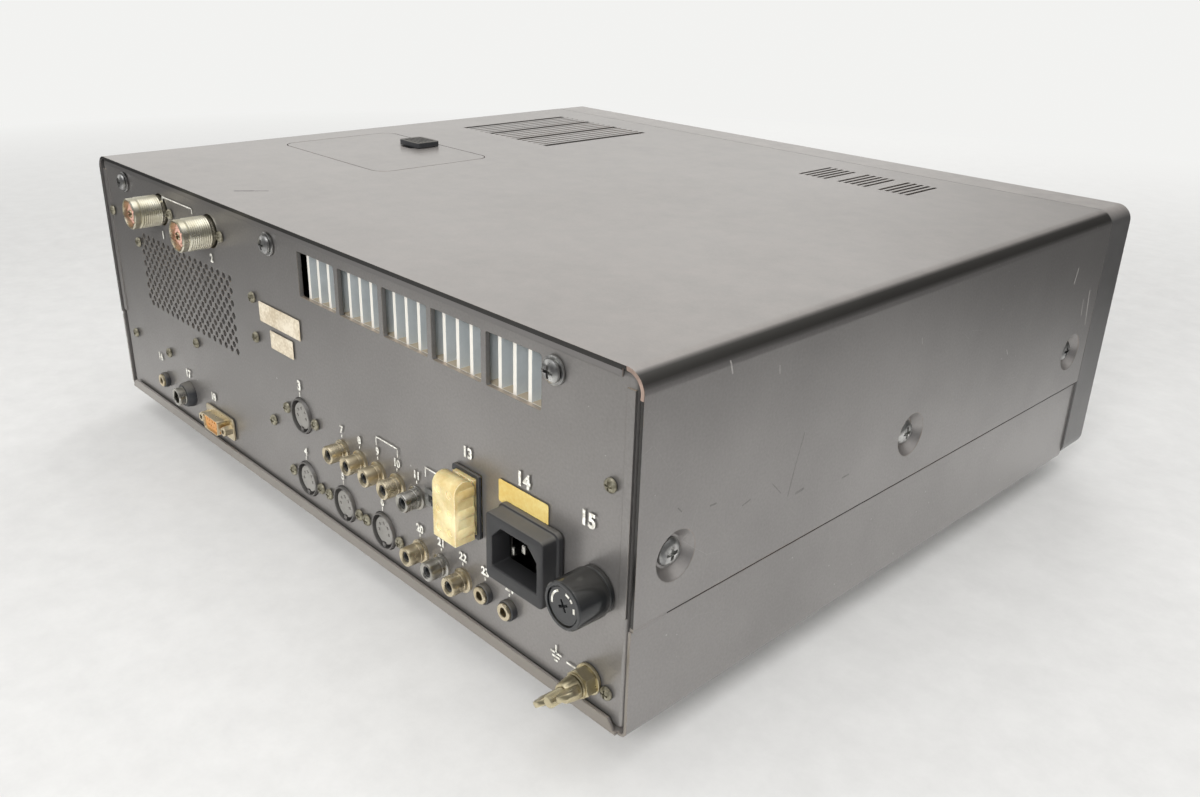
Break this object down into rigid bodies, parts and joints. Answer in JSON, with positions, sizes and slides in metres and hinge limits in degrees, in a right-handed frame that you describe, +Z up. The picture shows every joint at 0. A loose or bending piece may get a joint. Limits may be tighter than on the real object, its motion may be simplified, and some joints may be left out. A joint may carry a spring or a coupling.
{
  "type": "amateur radio transceiver",
  "caption": "Desk radio transceiver: steel case, finned rear with sockets, mains inlet and earth post; tuning knob, smaller knobs, buttons, meter, hatch and wire stand.",
  "frame": {"origin": "on the surface the feet stand on, below the middle of the overall box", "axes": "+Z up, +Y out of the rear panel, -Y towards the operator, +X to the operator's right"},
  "size_m": [0.42, 0.4048, 0.1533],
  "materials": {
    "black_paint": "satin paint, black by its name; the colour is as pale as the bright photo shows it",
    "panel_paint": "fine matt paint, black by its name; as pale as the bright photo shows it",
    "plated_steel": "zinc plated",
    "bezel_plastic": "moulded, satin dark grey",
    "front_paint": "satin dark grey",
    "smoked_glass": "smoked acrylic",
    "clear_glass": "clear acrylic",
    "display_tube": "glass display tube on a board",
    "dark_plastic": "moulded black",
    "socket_silver": "worn silver plating",
    "jack_brass": "dull gold plating",
    "screw_steel": "plated screw",
    "bare_aluminium": "bare extrusion",
    "speaker_cone": "paper cone and steel basket",
    "core_steel": "varnished laminations",
    "board_green": "lacquered circuit board",
    "foot_rubber": "black rubber",
    "needle_red": "painted pointer",
    "door_plastic": "painted as the cover",
    "nylon_cream": "aged natural nylon",
    "button_plastic": "moulded dark grey",
    "knob_plastic": "moulded black, satin"
  },
  "bodies": {
    "chassis": {"top_cover": "black_paint", "bottom_cover": "black_paint", "rear_panel": "panel_paint", "chassis_frame": "plated_steel", "front_bezel": "bezel_plastic", "front_panel": "front_paint", "shaft_bushings": "plated_steel", "display_window": "smoked_glass", "meter_window": "clear_glass", "display_module": "display_tube", "meter_case": "dark_plastic", "microphone_socket": "plated_steel", "headphone_socket": "dark_plastic", "antenna_sockets": "socket_silver", "din_sockets": "dark_plastic", "phono_jacks": "jack_brass", "jack_sockets": "jack_brass", "data_socket": "jack_brass", "power_inlet": "dark_plastic", "inlet_pins": "socket_silver", "fuse_holder": "dark_plastic", "ground_post": "jack_brass", "supply_socket": "dark_plastic", "switch_frame": "dark_plastic", "panel_screws": "screw_steel", "cover_screws": "screw_steel", "control_well": "dark_plastic", "heat_sink": "bare_aluminium", "fan_frame": "dark_plastic", "speaker": "speaker_cone", "power_transformer": "core_steel", "main_board": "board_green", "feet": "foot_rubber"},
    "power_button": {"power_button": "button_plastic"},
    "function_button_1": {"function_button_1": "button_plastic"},
    "function_button_2": {"function_button_2": "button_plastic"},
    "function_button_3": {"function_button_3": "button_plastic"},
    "mode_button_1": {"mode_button_1": "button_plastic"},
    "mode_button_2": {"mode_button_2": "button_plastic"},
    "mode_button_3": {"mode_button_3": "button_plastic"},
    "mode_button_4": {"mode_button_4": "button_plastic"},
    "mode_button_5": {"mode_button_5": "button_plastic"},
    "tuning_knob": {"tuning_knob": "knob_plastic"},
    "channel_knob": {"channel_knob": "knob_plastic"},
    "clarifier_knob": {"clarifier_knob": "knob_plastic"},
    "af_gain_knob": {"af_gain_knob": "knob_plastic"},
    "rf_gain_ring": {"rf_gain_ring": "knob_plastic"},
    "mic_gain_knob": {"mic_gain_knob": "knob_plastic"},
    "power_ring": {"power_ring": "knob_plastic"},
    "meter_needle": {"meter_needle": "needle_red"},
    "access_door": {"access_door": "door_plastic"},
    "door_latch": {"door_latch": "dark_plastic"},
    "switch_lever": {"switch_lever": "dark_plastic"},
    "fuse_cap": {"fuse_cap": "dark_plastic"},
    "wing_nut": {"wing_nut": "jack_brass"},
    "supply_plug": {"supply_plug": "nylon_cream"},
    "fan_rotor": {"fan_rotor": "dark_plastic"},
    "tilt_stand": {"tilt_stand": "plated_steel"},
    "preset_knob_1": {"preset_knob_1": "nylon_cream"},
    "preset_knob_2": {"preset_knob_2": "nylon_cream"}
  },
  "joints": [
    {"name": "power_button_press", "type": "slide", "parent": "chassis", "child": "power_button", "axis": [0, 1, 0], "range_m": [0, 0.003], "stiffness_N_per_m": 300},
    {"name": "function_button_1_press", "type": "slide", "parent": "chassis", "child": "function_button_1", "axis": [0, 1, 0], "range_m": [0, 0.002], "stiffness_N_per_m": 300},
    {"name": "function_button_2_press", "type": "slide", "parent": "chassis", "child": "function_button_2", "axis": [0, 1, 0], "range_m": [0, 0.002], "stiffness_N_per_m": 300},
    {"name": "function_button_3_press", "type": "slide", "parent": "chassis", "child": "function_button_3", "axis": [0, 1, 0], "range_m": [0, 0.002], "stiffness_N_per_m": 300},
    {"name": "mode_button_1_press", "type": "slide", "parent": "chassis", "child": "mode_button_1", "axis": [0, 1, 0], "range_m": [0, 0.002], "stiffness_N_per_m": 300},
    {"name": "mode_button_2_press", "type": "slide", "parent": "chassis", "child": "mode_button_2", "axis": [0, 1, 0], "range_m": [0, 0.002], "stiffness_N_per_m": 300},
    {"name": "mode_button_3_press", "type": "slide", "parent": "chassis", "child": "mode_button_3", "axis": [0, 1, 0], "range_m": [0, 0.002], "stiffness_N_per_m": 300},
    {"name": "mode_button_4_press", "type": "slide", "parent": "chassis", "child": "mode_button_4", "axis": [0, 1, 0], "range_m": [0, 0.002], "stiffness_N_per_m": 300},
    {"name": "mode_button_5_press", "type": "slide", "parent": "chassis", "child": "mode_button_5", "axis": [0, 1, 0], "range_m": [0, 0.002], "stiffness_N_per_m": 300},
    {"name": "tuning_knob_turn", "type": "hinge", "parent": "chassis", "child": "tuning_knob", "pos_m": [0, -0.176, 0.062], "axis": [0, -1, 0], "continuous": true},
    {"name": "channel_knob_turn", "type": "hinge", "parent": "chassis", "child": "channel_knob", "pos_m": [0.084, -0.176, 0.056], "axis": [0, -1, 0], "continuous": true},
    {"name": "clarifier_knob_turn", "type": "hinge", "parent": "chassis", "child": "clarifier_knob", "pos_m": [0.184, -0.176, 0.098], "axis": [0, -1, 0], "range_deg": [-150, 150]},
    {"name": "af_gain_knob_turn", "type": "hinge", "parent": "chassis", "child": "af_gain_knob", "pos_m": [0.18, -0.176, 0.05], "axis": [0, -1, 0], "range_deg": [-150, 150]},
    {"name": "rf_gain_ring_turn", "type": "hinge", "parent": "chassis", "child": "rf_gain_ring", "pos_m": [0.18, -0.176, 0.05], "axis": [0, -1, 0], "range_deg": [-150, 150]},
    {"name": "mic_gain_knob_turn", "type": "hinge", "parent": "chassis", "child": "mic_gain_knob", "pos_m": [0.136, -0.176, 0.05], "axis": [0, -1, 0], "range_deg": [-150, 150]},
    {"name": "power_ring_turn", "type": "hinge", "parent": "chassis", "child": "power_ring", "pos_m": [0.136, -0.176, 0.05], "axis": [0, -1, 0], "range_deg": [-150, 150]},
    {"name": "needle_swing", "type": "hinge", "parent": "chassis", "child": "meter_needle", "pos_m": [-0.151, -0.167, 0.1], "axis": [0, 1, 0], "range_deg": [0, 80], "stiffness_Nm_per_rad": 0.0005},
    {"name": "door_hinge", "type": "hinge", "parent": "chassis", "child": "access_door", "pos_m": [0.1318, 0.072, 0.147], "axis": [-1, 0, 0], "range_deg": [0, 95]},
    {"name": "latch_slide", "type": "slide", "parent": "access_door", "child": "door_latch", "axis": [0, 1, 0], "range_m": [0, 0.004]},
    {"name": "switch_slide", "type": "slide", "parent": "chassis", "child": "switch_lever", "axis": [1, 0, 0], "range_m": [0, 0.0036]},
    {"name": "fuse_cap_turn", "type": "hinge", "parent": "chassis", "child": "fuse_cap", "pos_m": [-0.192, 0.188, 0.0666], "axis": [0, 1, 0], "range_deg": [0, 90]},
    {"name": "wing_nut_turn", "type": "hinge", "parent": "chassis", "child": "wing_nut", "pos_m": [-0.19, 0.19, 0.0289], "axis": [0, 1, 0], "continuous": true},
    {"name": "supply_plug_pull", "type": "slide", "parent": "chassis", "child": "supply_plug", "axis": [0, 1, 0], "range_m": [0, 0.014]},
    {"name": "fan_spin", "type": "hinge", "parent": "chassis", "child": "fan_rotor", "pos_m": [-0.078, 0.1, 0.11], "axis": [0, -1, 0], "continuous": true},
    {"name": "stand_fold", "type": "hinge", "parent": "chassis", "child": "tilt_stand", "pos_m": [0, -0.125, 0.008], "axis": [-1, 0, 0], "range_deg": [0, 100]},
    {"name": "preset_knob_1_turn", "type": "hinge", "parent": "chassis", "child": "preset_knob_1", "pos_m": [0.104, 0.05, 0.13], "axis": [0, 0, 1], "range_deg": [-140, 140]},
    {"name": "preset_knob_2_turn", "type": "hinge", "parent": "chassis", "child": "preset_knob_2", "pos_m": [0.126, 0.05, 0.13], "axis": [0, 0, 1], "range_deg": [-140, 140]}
  ]
}
